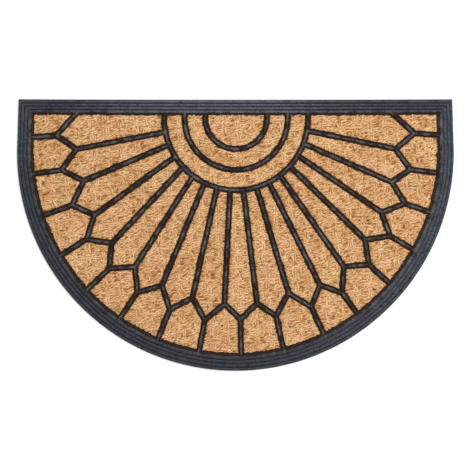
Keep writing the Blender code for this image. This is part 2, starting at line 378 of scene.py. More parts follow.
def rib_lines():
    tips = [fan_point(TIP_RADIUS, k, TIP_STRAYS.get(k, (0, 0))) for k in range(PETALS + 1)]
    valleys = [fan_point(VALLEY_RADIUS, k + 0.5, VALLEY_STRAYS.get(k, (0, 0)))
               for k in range(PETALS)]
    lines = []
    for radius in SUN_RADII:
        start = math.asin((mat_high.y - RIB_END_INSET - SUN_CENTRE.y) / radius)
        angles = [-start + (math.pi + 2 * start) * step / ARC_STEPS for step in range(ARC_STEPS + 1)]
        lines.append([on_fan(SUN_CENTRE, radius, angle) for angle in angles])
    for k in range(1, PETALS):
        root = on_fan(SUN_CENTRE, SUN_RADII[-1], math.pi * k / PETALS + RAY_ROOT_TURN)
        lines.append([root, tips[k]])
    for k, valley in enumerate(valleys):
        spoke = min(max(fan_angle(k + 0.5), FLATTEST_SPOKE), math.pi - FLATTEST_SPOKE)
        lines.append([valley, border_stop(valley, on_fan(valley, SPOKE_LENGTH, spoke))])
        before = tips[k] if k > 0 else border_stop(valley, valley + (tips[0] - valley) * 2)
        after = tips[k + 1]
        if k == PETALS - 1:
            after = border_stop(valley, valley + (after - valley) * 2)
        lines += [[before, valley], [valley, after]]
    return lines


def new_tree(name, inputs):
    """A geometry tree with named inputs, given as (name, socket kind, default)."""
    tree = bpy.data.node_groups.new(name, "GeometryNodeTree")
    tree.interface.new_socket("Geometry", in_out="INPUT", socket_type="NodeSocketGeometry")
    tree.interface.new_socket("Geometry", in_out="OUTPUT", socket_type="NodeSocketGeometry")
    for label, kind, default in inputs:
        socket = tree.interface.new_socket(label, in_out="INPUT", socket_type=kind)
        if default is not None:
            socket.default_value = default
    return tree, tree.nodes.new("NodeGroupInput").outputs


def reckon_vector(tree, operation, *values):
    """One step of arithmetic on vectors, whose length is a number."""
    node = add_node(tree, "ShaderNodeVectorMath", dict(enumerate(values)), operation=operation)
    return node.outputs["Value" if operation == "LENGTH" else "Vector"]


def scaled(tree, vector, factor):
    return add_node(tree, "ShaderNodeVectorMath", {0: vector, "Scale": factor},
                    operation="SCALE").outputs[0]


def position(tree):
    return add_node(tree, "GeometryNodeInputPosition").outputs[0]


def split_up(tree, vector):
    """A vector's X, Y and Z sockets."""
    return add_node(tree, "ShaderNodeSeparateXYZ", {"Vector": vector}).outputs


def stored(tree, geometry, name, value, domain="POINT"):
    return add_node(tree, "GeometryNodeStoreNamedAttribute",
                    {"Geometry": geometry, "Name": name, "Value": value},
                    data_type="FLOAT", domain=domain).outputs[0]


def finish_tree(tree, geometry, material):
    """End a tree in Realize Instances and Set Material."""
    real = add_node(tree, "GeometryNodeRealizeInstances", {"Geometry": geometry})
    dressed = add_node(tree, "GeometryNodeSetMaterial",
                       {"Geometry": real.outputs[0], "Material": material})
    add_node(tree, "NodeGroupOutput", {"Geometry": dressed.outputs[0]})
    return tree


def grow_mesh(name, source, tree, values):
    """Run a tree on a source object and keep the result as a plain mesh of its own."""
    modifier = source.modifiers.new(name, "NODES")
    modifier.node_group = tree
    for item in tree.interface.items_tree:
        if item.in_out == "INPUT" and item.name in values:
            modifier[item.identifier] = values[item.name]
    result = source.evaluated_get(bpy.context.evaluated_depsgraph_get())
    data = bpy.data.meshes.new_from_object(result)
    source.modifiers.remove(modifier)
    finish = next(item for item in data.materials if item)
    data.materials.clear()
    data.materials.append(finish)
    data.name = name
    return add_object(name, data)


def rib_tree():
    """Sweep a rounded bar along each line, with the slight wobble of a hand-cut mould."""
    tree, given = new_tree("rib_moulding", (
        ("Width", "NodeSocketFloat", RIB_WIDTH), ("Step", "NodeSocketFloat", RIB_STEP),
        ("Height", "NodeSocketFloat", RIB_CROWN - RIB_FOOT),
        ("Rounding", "NodeSocketFloat", RIB_ROUNDING), ("Wobble", "NodeSocketFloat", RIB_WOBBLE)))
    fine = add_node(tree, "GeometryNodeResampleCurve", {"Curve": given["Geometry"],
                                                        "Length": given["Step"]}, mode="LENGTH")
    place = position(tree)
    wander = cloud(tree, place, scale=45.0, detail=2.0).outputs["Color"]
    centred = reckon_vector(tree, "SUBTRACT", wander, (0.5, 0.5, 0.5))
    level = reckon_vector(tree, "MULTIPLY", centred, RIB_WOBBLE_REACH)
    moved = add_node(tree, "GeometryNodeSetPosition",
                     {"Geometry": fine.outputs[0], "Offset": scaled(tree, level, given["Wobble"])})
    swell = cloud(tree, place, scale=110.0, detail=2.0).outputs["Fac"]
    uneven = add_node(tree, "GeometryNodeSetCurveRadius",
                      {"Curve": moved.outputs[0],
                       "Radius": remapped(tree, swell, GIRTH_NOISE, RIB_GIRTH)})
    upright = add_node(tree, "GeometryNodeSetCurveNormal", {"Curve": uneven.outputs[0]},
                       mode="Z_UP")
    section = add_node(tree, "GeometryNodeCurvePrimitiveQuadrilateral",
                       {"Width": given["Width"], "Height": given["Height"]})
    rounded = add_node(tree, "GeometryNodeFilletCurve",
                       {"Curve": section.outputs[0], "Count": RIB_ROUNDING_STEPS,
                        "Radius": given["Rounding"]}, mode="POLY")
    own = add_node(tree, "GeometryNodeInputRadius")
    bar = add_node(tree, "GeometryNodeCurveToMesh",
                   {"Curve": upright.outputs[0], "Profile Curve": rounded.outputs[0],
                    "Scale": own.outputs[0], "Fill Caps": True})
    smooth = add_node(tree, "GeometryNodeSetShadeSmooth", {"Geometry": bar.outputs[0]})
    # Painted light on the crown and painted shade on the sides by height, and the ribs' full mark of
    # dust and painted light
    crown = remapped(tree, split_up(tree, position(tree))["Z"], RIB_PAINTED_LIGHT_HEIGHTS)
    marked = stored(tree, smooth.outputs[0], "crown", crown)
    return finish_tree(tree, stored(tree, marked, "coir_dust", 1.0), rubber_material)


def make_ribs():
    curve = bpy.data.curves.new("rib_lines", "CURVE")
    curve.dimensions = "3D"
    middle = (RIB_FOOT + RIB_CROWN) / 2
    for line in rib_lines():
        spline = curve.splines.new("POLY")
        spline.points.add(len(line) - 1)
        for point, place in zip(spline.points, line):
            point.co = (place.x, place.y, middle, 1.0)
    guide = add_object("rib_lines", curve)
    ribs = grow_mesh("ribs", guide, rib_tree(), {})
    bpy.data.objects.remove(guide)
    return ribs


ribs = make_ribs()
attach(ribs, "root")
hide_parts("rubber")


# The coir cloth
# One thick cloth of coconut-fibre yarn in a basket weave: pairs of weft picks over and under
# narrower warp pairs. The ribs press it down to a web, and it stands up in each window.
CLOTH_BOTTOM = 0.0027
WEB_TOP = 0.0043
CLOTH_RIM = (0.0206, 0.0209, 0.0218)
PANEL_CUT = 0.0060
PANEL_SPACING = 0.0023
ROW_SPACING = 0.866 * PANEL_SPACING
RIM_SPACING = 0.55 * PANEL_SPACING
RIM_CLEARANCE = 0.6 * PANEL_SPACING
MERGE_DISTANCE = 0.000001
MESH_TOLERANCE = 1e-7
# The unevenness of a panel's edge: its waves to a metre and depth, and the odd notch
FRAY_WAVES = 260
FRAY = 0.0007
NOTCH_WAVES = 70
NOTCH = 0.0016
NOTCH_START = 0.36
NOTCH_RISE = 1.6
NOTCH_SEED = 40
BORDER_RAG = 2.2
BORDER_REACH = 0.034
ROUND_RETREAT = 0.0009
CORNER_TURN = math.radians(30)
CORNER_CLEAR = 0.005
SHOULDER = 0.0022
SHOULDER_DROP = 0.0009
RIM_FLATTEN = 0.01
# The weave's repeat, and the place, rise and roundness of its two yarns
WEAVE_ORIGIN = np.array([-0.0010, -0.0172])
WEAVE_ACROSS = np.array([0.05017, 0.00113])
WEAVE_DOWN = np.array([0.00225, -0.02495])
WEFT_RISE = 0.0007
WARP_RISE = 0.0008
YARN_ROUNDNESS = 0.0011
PICK_SPREAD = 0.0030
PICK_RADIUS = 0.0031
WARP_OFFSET = -0.0015
WARP_SPREAD = 0.0026
WARP_RADIUS = 0.0029
WARP_SINK = 0.0004
GAP_FLOOR = -0.0016
HOLE_CENTRE = -0.0010
HOLE_OFFSET = 0.0088
HOLE_SPREAD = 0.0028
HOLE_DEPTH = 0.0004
WEAVE_MIDDLE = 0.0064
TWIST_SLANT = math.radians(17)
COIR_DARK = (0.180, 0.074, 0.020, 1.0)
COIR_PALE = (0.560, 0.310, 0.128, 1.0)
# A dark brown painted shade for the crevices round the panels, where the cloth and the strands lie
# low
COIR_PIT_SHADE = (0.026, 0.017, 0.012, 1.0)
FIBRES_PER_METRE = 1500.0
FIBRE_WAVES_PER_METRE = 170.0
FIBRE_CONTRAST = (0.36, 0.64)
PIT_SHADE_HEIGHTS = (0.0056, 0.0070)


def weave_at(points):
    """Height of the weave at each point, and 1 where a weft pick lies uppermost."""
    steps = np.linalg.inv(np.column_stack([WEAVE_ACROSS, WEAVE_DOWN])) @ (points - WEAVE_ORIGIN).T
    column, row = 2 * steps[0], 2 * steps[1]
    nearest_column, nearest_row = np.round(column), np.round(row)
    aside = (column - nearest_column) * np.linalg.norm(WEAVE_ACROSS) / 2
    below = (row - nearest_row) * np.linalg.norm(WEAVE_DOWN) / 2
    weft_axis = -WEFT_RISE * np.cos(math.pi * (column + nearest_row))
    warp_axis = WARP_RISE * np.cos(math.pi * (row + nearest_column))
    from_pick = np.abs(np.abs(below) - PICK_SPREAD) / PICK_RADIUS
    from_warp = np.abs(np.abs(aside - WARP_OFFSET) - WARP_SPREAD) / WARP_RADIUS
    from_hole = (np.abs(aside - HOLE_CENTRE) - HOLE_OFFSET) / HOLE_SPREAD
    hole = HOLE_DEPTH * np.exp(-from_hole ** 2) * np.clip(warp_axis / WARP_RISE, 0, 1)
    weft = weft_axis + YARN_ROUNDNESS * np.sqrt(np.clip(1 - from_pick ** 2, 0, 1)) - hole
    warp = warp_axis + YARN_ROUNDNESS * np.sqrt(np.clip(1 - from_warp ** 2, 0, 1)) - WARP_SINK
    warp = np.where(from_warp < 1, warp, GAP_FLOOR)
    return np.maximum(weft, warp), (weft > warp).astype(float)


def outlines_at(node, height):
    """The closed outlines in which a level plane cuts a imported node, anticlockwise."""
    mesh = bmesh.new()
    mesh.from_mesh(frame["nodes"][node].data)
    bmesh.ops.remove_doubles(mesh, verts=mesh.verts, dist=MERGE_DISTANCE)
    everything = mesh.verts[:] + mesh.edges[:] + mesh.faces[:]
    cut = bmesh.ops.bisect_plane(mesh, geom=everything, plane_co=(0, 0, height),
                                 plane_no=(0, 0, 1))
    left = dict.fromkeys(item for item in cut["geom_cut"] if isinstance(item, bmesh.types.BMEdge))
    outlines = []
    while left:
        edge = left.popitem()[0]
        first, vert = edge.verts
        outline = [first.co.xy]
        while vert is not first:
            outline.append(vert.co.xy)
            edge = next(item for item in vert.link_edges if item in left)
            del left[edge]
            vert = edge.other_vert(vert)
        area = sum(a.x * b.y - b.x * a.y for a, b in zip(outline, outline[1:] + outline[:1]))
        outlines.append(outline if area > 0 else outline[::-1])
    mesh.free()
    return sorted(outlines, key=lambda outline: (round(outline[0].x, 4), outline[0].y))


def turn_at(outline, index):
    """How sharply an outline turns at one of its points."""
    onward = outline[(index + 1) % len(outline)] - outline[index]
    return abs((outline[index] - outline[index - 1]).angle_signed(onward))


def frayed(outline, seed):
    """A panel's outline with the small unevenness and the odd notch of cut and pressed coir."""
    corners = [point for index, point in enumerate(outline) if turn_at(outline, index) > CORNER_TURN]
    points = []
    for start, end in zip(outline, outline[1:] + outline[:1]):
        run = end - start
        outward = Vector((run.y, -run.x)).normalized()
        steps = max(1, round(run.length / RIM_SPACING))
        for step in range(steps):
            place = start.lerp(end, step / steps)
            fine = noise.noise(Vector((*(place * FRAY_WAVES), seed)))
            slow = noise.noise(Vector((*(place * NOTCH_WAVES), seed + NOTCH_SEED)))
            bite = min(0.0, NOTCH_START - abs(slow) * NOTCH_RISE) * NOTCH
            inset = round_radius - (place - round_centre).length
            if place.y > round_centre.y:
                inset = min(round_radius - abs(place.x), mat_high.y - place.y)
            ragged = BORDER_RAG if inset < BORDER_REACH else 1.0
            clear = min((place - corner).length for corner in corners) / CORNER_CLEAR
            uneven = (fine * FRAY * ragged + bite) * min(1.0, clear)
            if inset < BORDER_REACH and place.y < round_centre.y:
                facing = outward.dot((place - round_centre).normalized())
                uneven -= ROUND_RETREAT * max(0.0, facing) ** 4
            points.append(place + outward * uneven)
    return points


def inside(points, outline):
    """Which points lie inside an outline."""
    found = np.zeros(len(points), bool)
    for a, b in zip(outline, np.roll(outline, -1, 0)):
        if a[1] == b[1]:
            continue
        crosses = (a[1] > points[:, 1]) != (b[1] > points[:, 1])
        reach = (b[0] - a[0]) * (points[:, 1] - a[1]) / (b[1] - a[1]) + a[0]
        found ^= crosses & (points[:, 0] < reach)
    return found


def distance_to(points, outline):
    """How far each point lies from an outline."""
    nearest = np.full(len(points), 1.0)
    for a, b in zip(outline, np.roll(outline, -1, 0)):
        run = b - a
        along = np.clip((points - a) @ run / (run @ run), 0, 1)
        gap = np.linalg.norm(points - a - along[:, None] * run, axis=1)
        nearest = np.minimum(nearest, gap)
    return nearest


def panel_points(outline):
    """A staggered grid of points inside a panel, clear of its outline."""
    low, high = outline.min(0), outline.max(0)
    rows = np.arange(low[1], high[1], ROW_SPACING)
    across = np.arange(low[0], high[0], PANEL_SPACING)
    grid = np.array([(x + (index % 2) * PANEL_SPACING / 2, y)
                     for index, y in enumerate(rows) for x in across])
    grid = grid[inside(grid, outline)]
    return grid[distance_to(grid, outline) > RIM_CLEARANCE]


def weft_marked(name, vertices, faces, weft):
    """An object whose points know where a weft pick lies uppermost."""
    data = bpy.data.meshes.new(name)
    data.from_pydata(vertices, [], faces)
    data.attributes.new("weft", "FLOAT", "POINT").data.foreach_set("value", weft)
    return add_object(name, data)


def make_coir_cloth():
    """The whole cloth as one closed mesh, and the tops of its panels and their rims apart."""
    rim = [Vector(point) for point in mat_outline(*CLOTH_RIM)]
    vertices, triangles, weft_marks = [], [], []
    top_vertices, top_triangles, top_weft, rim_edges = [], [], [], []

    def add(points, heights, weft):
        start = len(vertices)
        vertices.extend((x, y, z) for (x, y), z in zip(points, heights))
        weft_marks.extend(weft)
        return start

    feet = []
    for seed, cut in enumerate(outlines_at("coir_cloth", PANEL_CUT)):
        outline = np.array(frayed(cut, seed))
        points = np.vstack([outline, panel_points(outline)])
        height, weft = weave_at(points)
        near = 1 - np.clip(distance_to(points, outline) / SHOULDER, 0, 1)
        height = WEAVE_MIDDLE + height - SHOULDER_DROP * near ** 2
        count = len(outline)
        loop = [(index, (index + 1) % count) for index in range(count)]
        mesh = delaunay_2d_cdt([Vector(point) for point in points], loop, [], 1, MESH_TOLERANCE)
        if len(mesh[0]) != len(points):
            raise RuntimeError("a panel's outline crosses itself")
        top = add(points, height, weft)
        foot = add(outline, [WEB_TOP] * count, [0.0] * count)
        feet.append((foot, count))
        triangles.extend(tuple(top + index for index in face) for face in mesh[2])
        for a, b in loop:
            triangles.append((foot + a, foot + b, top + b, top + a))
        shift = len(top_vertices)
        top_vertices.extend((x, y, z) for (x, y), z in zip(points, height))
        top_triangles.extend(tuple(shift + index for index in face) for face in mesh[2])
        top_weft.extend(weft)
        rim_edges.extend((shift + a, shift + b) for a, b in loop)
    rim_top = add(rim, [WEB_TOP] * len(rim), [0.0] * len(rim))
    rim_foot = add(rim, [CLOTH_BOTTOM] * len(rim), [0.0] * len(rim))
    web_names, outlines = [], []
    for start, count in [(rim_top, len(rim))] + feet:
        outlines.append([len(web_names) + index for index in range(count)])
        web_names += [start + index for index in range(count)]
    web_points = [Vector(vertices[name][:2]) for name in web_names]
    web = delaunay_2d_cdt(web_points, [], outlines, 1, MESH_TOLERANCE)
    for face, owners in zip(web[2], web[5]):
        if owners == [0]:
            triangles.append(tuple(web_names[web[3][index][0]] for index in face))
    for index in range(len(rim)):
        before = index - 1 if index else len(rim) - 1
        triangles.append((rim_foot + before, rim_foot + index, rim_top + index, rim_top + before))
    triangles.append([rim_foot + index for index in reversed(range(len(rim)))])
    cloth = weft_marked("coir_cloth_body", vertices, triangles, weft_marks)
    tops = weft_marked("panel_tops", top_vertices, top_triangles, top_weft)
    rims = bpy.data.meshes.new("panel_rims")
    rims.from_pydata([(x, y, z * RIM_FLATTEN) for x, y, z in top_vertices], rim_edges, [])
    return cloth, tops, add_object("panel_rims", rims)


def make_cloth_material():
    surface, tree, shader = new_material("coir_ground")
    place = add_node(tree, "ShaderNodeTexCoord").outputs["Object"]
    weft = mark_of(tree, "weft")
    slanted = add_node(tree, "ShaderNodeMapping", {"Vector": place,
                                                   "Rotation": (0.0, 0.0, -TWIST_SLANT)})
    stretched = [add_node(tree, "ShaderNodeMapping", {"Vector": slanted.outputs[0],
                                                      "Scale": (x, y, 1.0)}).outputs[0]
                 for x, y in ((FIBRES_PER_METRE, FIBRE_WAVES_PER_METRE),
                              (FIBRE_WAVES_PER_METRE, FIBRES_PER_METRE))]
    along = add_node(tree, "ShaderNodeMix",
                     {"Factor": reckon(tree, "GREATER_THAN", weft, 0.5),
                      4: stretched[0], 5: stretched[1]}, data_type="VECTOR").outputs[1]
    fibre = cloud(tree, along, scale=1.0, detail=3.0)
    fibre.inputs["Distortion"].default_value = 0.8
    shade = remapped(tree, fibre.outputs["Fac"], FIBRE_CONTRAST)
    yarn = blended(tree, shade, COIR_DARK, COIR_PALE)
    # Below these heights the cloth takes the painted crevice shade
    depth = remapped(tree, split_up(tree, place)["Z"], PIT_SHADE_HEIGHTS)
    link_to(tree, shader, {"Base Color": blended(tree, depth, COIR_PIT_SHADE, yarn),
                           "Normal": bumped(tree, fibre.outputs["Fac"], strength=1.0,
                                            distance=0.0012)})
    shader.inputs["Roughness"].default_value = 0.95
    shader.inputs["Specular IOR Level"].default_value = 0.15
    return surface


coir_cloth, panel_tops, panel_rims = make_coir_cloth()
coir_cloth.data.materials.append(make_cloth_material())
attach(coir_cloth, "root")
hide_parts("coir_cloth")
cloth_outline = mat_outline(*CLOTH_RIM)


# The coir's plies
# The yarn is two plies of coconut fibre twisted together, so its face is a run of short,
# wavy, fibrous strands that slant across each yarn and turn down into the weave.
STRAND_SHAPES = 10
STRAND_SIDES = 3
STRAND_RINGS = 4
STRAND_LENGTH = 0.0096
STRAND_WIDTH = 0.0022
STRAND_HEIGHT = 0.0008
STRAND_SWAY = 0.0003
SWAY_TURNS = 0.8
THINNEST_TIP = 0.12
TIP_FULLNESS = 0.06
FULLNESS_POWER = 0.6
STRAND_SIZES = (0.65, 1.25)
DENSEST_STRANDS = 200000.0
SLANT_SCATTER = math.radians(14)
SLANT_FLOW = math.radians(48)
LOWEST_STRAND = 0.0038
ABOVE_ALL = (0.0, 0.0, 0.1)
STRAND_OVERHANG = 0.0035
RIM_CLING = 0.0004
RIM_SINK = 0.6
TIP_DIP = 0.0015
# How the strands differ: each by itself, in bunches that lie along the yarn, by streaks along
# them, in patches, and by a painted shade that darkens them the deeper they lie
OWN_TONE = 0.09
BUNCH_STRETCH = (0.45, 1.0, 1.0)
BUNCH_NOISE = (0.32, 0.46)
BUNCH_TONES = (-0.52, 0.05)
STREAK_STRETCH = (17.0, 1.3, 1.0)
STREAK_DEPTH = 1.5
PATCH_SPREAD = 0.9
PATCH_SHIFT = -0.44
HOLLOW_SHADE_HEIGHTS = (0.0058, 0.0080)
HOLLOW_SHADE_TONES = (-0.28, 0.10)
BURIED_SHADE_HEIGHTS = (0.0044, 0.0062)
BATCH_HUE_SPREAD = 2.9
BATCH_HUE_SHIFT = -1.25
OWN_HUE = 0.6
NOISE_PARTING = 97.0
# Each layer's name, seed, spacing, lift and brightness; the deeper layers are darker, a painted
# shade under the upper ones
STRAND_LAYERS = (("coir_plies_deep", 3, 0.0040, 0.0000, 0.42),
                 ("coir_plies_low", 7, 0.0036, 0.0001, 0.54),
                 ("coir_plies_middle", 11, 0.0034, 0.0002, 0.62),
                 ("coir_plies_top", 23, 0.0034, 0.0003, 0.65))
COIR_TONES = ((0.00, (0.200, 0.064, 0.013, 1.0)), (0.30, (0.430, 0.192, 0.052, 1.0)),
              (0.60, (0.664, 0.382, 0.175, 1.0)), (0.80, (0.718, 0.466, 0.253, 1.0)),
              (1.00, (0.726, 0.488, 0.276, 1.0)))
STRAW_TINT = (0.96, 1.04, 0.96, 1.0)
ROSE_TINT = (1.05, 0.95, 1.05, 1.0)


def make_tube(name, rings):
    """A closed, smooth tube through rings of equally many points."""
    sides, last = len(rings[0]), (len(rings) - 1) * len(rings[0])
    faces = []
    for start in range(0, last, sides):
        for side in range(sides):
            a, b = start + side, start + (side + 1) % sides
            faces.append((a, b, b + sides, a + sides))
    faces.append(tuple(reversed(range(sides))))
    faces.append(tuple(range(last, last + sides)))
    data = bpy.data.meshes.new(name)
    data.from_pydata([point for ring in rings for point in ring], [], faces)
    data.shade_smooth()
    return data


def make_strand_shapes():
    """A few bent and tapered strands, lying along X, for the plies to be picked from."""
    shapes = bpy.data.collections.new("strand_shapes")
    for shape in range(STRAND_SHAPES):
        rings, map_points = [], []
        for ring in range(STRAND_RINGS):
            along = ring / (STRAND_RINGS - 1)
            swell = math.sin(math.pi * (TIP_FULLNESS + (1 - 2 * TIP_FULLNESS) * along))
            fullness = max(THINNEST_TIP, swell ** FULLNESS_POWER)
            sway = STRAND_SWAY * math.sin(math.tau * (along * SWAY_TURNS + shape / STRAND_SHAPES))
            dip = -TIP_DIP * (2 * along - 1) ** 4
            rings.append([])
            for side in range(STRAND_SIDES):
                turn = math.tau * (side / STRAND_SIDES + 0.25)
                across = math.cos(turn) * fullness * STRAND_WIDTH / 2
                up = math.sin(turn) * fullness * STRAND_HEIGHT / 2
                rings[-1].append(((along - 0.5) * STRAND_LENGTH, sway + across, dip + up))
                map_points.append((side / STRAND_SIDES, along))
        data = make_tube("strand_shape", rings)
        layer = data.uv_layers.new(name="UVMap")
        for loop in data.loops:
            layer.data[loop.index].uv = map_points[loop.vertex_index]
        shapes.objects.link(bpy.data.objects.new("strand_shape", data))
    return shapes


def random_value(tree, least, most, seed):
    return add_node(tree, "FunctionNodeRandomValue", {2: least, 3: most, "Seed": seed},
                    data_type="FLOAT").outputs[1]


def compare(tree, value, operation, limit):
    return add_node(tree, "FunctionNodeCompare", {0: value, 1: limit}, data_type="FLOAT",
                    operation=operation).outputs[0]


def straight_up(tree, height):
    """A vector of that height straight up."""
    return add_node(tree, "ShaderNodeCombineXYZ", {"Z": height}).outputs[0]


def flattened(tree, vector):
    """A vector without its height."""
    return reckon_vector(tree, "MULTIPLY", vector, (1.0, 1.0, 0.0))


def scattered(tree, given, densest, **chosen):
    """Points over the given mesh, no closer together than the given spacing."""
    return add_node(tree, "GeometryNodeDistributePointsOnFaces", {
        "Mesh": given["Geometry"], "Distance Min": given["Spacing"], "Density Max": densest,
        "Seed": given["Seed"], **chosen}, distribute_method="POISSON").outputs["Points"]


def nearest_rim(tree, rims, place):
    """The nearest point of the panels' rims, as a proximity node."""
    rims = add_node(tree, "GeometryNodeObjectInfo", {"Object": rims}).outputs["Geometry"]
    return add_node(tree, "GeometryNodeProximity", {0: rims, "Source Position": place},
                    target_element="EDGES")


def laid_on(tree, points, shapes, turn, size):
    """One of a collection's shapes on each point."""
    shapes = add_node(tree, "GeometryNodeCollectionInfo",
                      {"Collection": shapes, "Separate Children": True, "Reset Children": True})
    return add_node(tree, "GeometryNodeInstanceOnPoints",
                    {"Points": points, "Instance": shapes.outputs[0], "Pick Instance": True,
                     "Rotation": turn, "Scale": size}).outputs[0]


def strand_tree(material):
    """Scatter strands over the panels, lay each along its yarn and drape it on the weave."""
    tree, given = new_tree("lay_strands", (
        ("Shapes", "NodeSocketCollection", None), ("Rims", "NodeSocketObject", None),
        ("Spacing", "NodeSocketFloat", 0.004), ("Seed", "NodeSocketInt", 1),
        ("Lift", "NodeSocketFloat", 0.0), ("Slant", "NodeSocketFloat", TWIST_SLANT),
        ("Scatter", "NodeSocketFloat", SLANT_SCATTER), ("Flow", "NodeSocketFloat", 2 * SLANT_FLOW),
        ("Least size", "NodeSocketFloat", STRAND_SIZES[0]),
        ("Most size", "NodeSocketFloat", STRAND_SIZES[1]),
        ("Brightness", "NodeSocketFloat", 0.5)))
    spots = scattered(tree, given, DENSEST_STRANDS)
    place = position(tree)
    flat = flattened(tree, place)
    level = add_node(tree, "GeometryNodeSetPosition", {"Geometry": spots, "Position": flat})
    weft = add_node(tree, "GeometryNodeInputNamedAttribute", {"Name": "weft"}, data_type="FLOAT")
    on_warp = compare(tree, weft.outputs[0], "LESS_THAN", 0.5)
    quarter = reckon(tree, "MULTIPLY", on_warp, math.pi / 2)
    lie = reckon(tree, "ADD", quarter, given["Slant"])
    turn = lie
    negative = reckon(tree, "MULTIPLY", given["Scatter"], -1.0)
    for seed in (given["Seed"], 101):
        stray = random_value(tree, negative, given["Scatter"], seed)
        turn = reckon(tree, "ADD", turn, stray)
    flow = cloud(tree, place, scale=62.0, detail=1.0).outputs["Fac"]
    flow = reckon(tree, "ADD", flow, -0.5)
    turn = reckon(tree, "MULTIPLY_ADD", flow, given["Flow"], turn)
    edge = nearest_rim(tree, given["Rims"], flat).outputs["Position"]
    rim_flat = flattened(tree, edge)
    outward = reckon_vector(tree, "SUBTRACT", flat, rim_flat)
    beyond = reckon_vector(tree, "LENGTH", outward)
    size = random_value(tree, given["Least size"], given["Most size"], seed=7)
    room = reckon(tree, "MULTIPLY_ADD", beyond, 2 / STRAND_LENGTH,
                  2 * STRAND_OVERHANG / STRAND_LENGTH)
    laid = laid_on(tree, level.outputs[0], given["Shapes"], straight_up(tree, turn),
                   reckon(tree, "MINIMUM", size, room))
    along_yarn = add_node(tree, "ShaderNodeVectorRotate", {"Vector": flat, "Angle": lie},
                          rotation_type="Z_AXIS", invert=True).outputs[0]
    stretched = reckon_vector(tree, "MULTIPLY", along_yarn, BUNCH_STRETCH)
    bunch = cloud(tree, stretched, scale=250.0, detail=1.0).outputs["Fac"]
    shade = random_value(tree, -OWN_TONE, OWN_TONE, seed=19)
    shade = reckon(tree, "ADD", shade, given["Brightness"])
    shade = reckon(tree, "ADD", shade, remapped(tree, bunch, BUNCH_NOISE, BUNCH_TONES))
    toned = stored(tree, laid, "tone", shade, "INSTANCE")
    real = add_node(tree, "GeometryNodeRealizeInstances", {"Geometry": toned})
    drop = add_node(tree, "GeometryNodeRaycast", {
        "Target Geometry": given["Geometry"], "Ray Direction": (0.0, 0.0, -1.0), "Ray Length": 1.0,
        "Source Position": reckon_vector(tree, "ADD", flat, ABOVE_ALL)})
    own = reckon(tree, "ADD", split_up(tree, place)["Z"], given["Lift"])
    on_top = reckon_vector(tree, "ADD", drop.outputs["Hit Position"], straight_up(tree, own))
    cling = reckon(tree, "DIVIDE", RIM_CLING, reckon(tree, "ADD", beyond, RIM_CLING))
    sink = reckon(tree, "MULTIPLY_ADD", beyond, -RIM_SINK, own)
    rim_place = reckon_vector(tree, "MULTIPLY", edge, (1.0, 1.0, 1 / RIM_FLATTEN))
    bent = reckon_vector(tree, "ADD", rim_place, scaled(tree, outward, cling))
    bent = reckon_vector(tree, "ADD", bent, straight_up(tree, sink))
    choice = add_node(tree, "GeometryNodeSwitch",
                      {"Switch": drop.outputs["Is Hit"], "False": bent, "True": on_top},
                      input_type="VECTOR")
    x, y, z = split_up(tree, choice.outputs[0])
    settled = add_node(tree, "ShaderNodeCombineXYZ", {
        "X": x, "Y": y, "Z": reckon(tree, "MAXIMUM", z, LOWEST_STRAND)})
    draped = add_node(tree, "GeometryNodeSetPosition", {"Geometry": real.outputs[0],
                                                        "Position": settled.outputs[0]})
    return finish_tree(tree, draped.outputs[0], material)


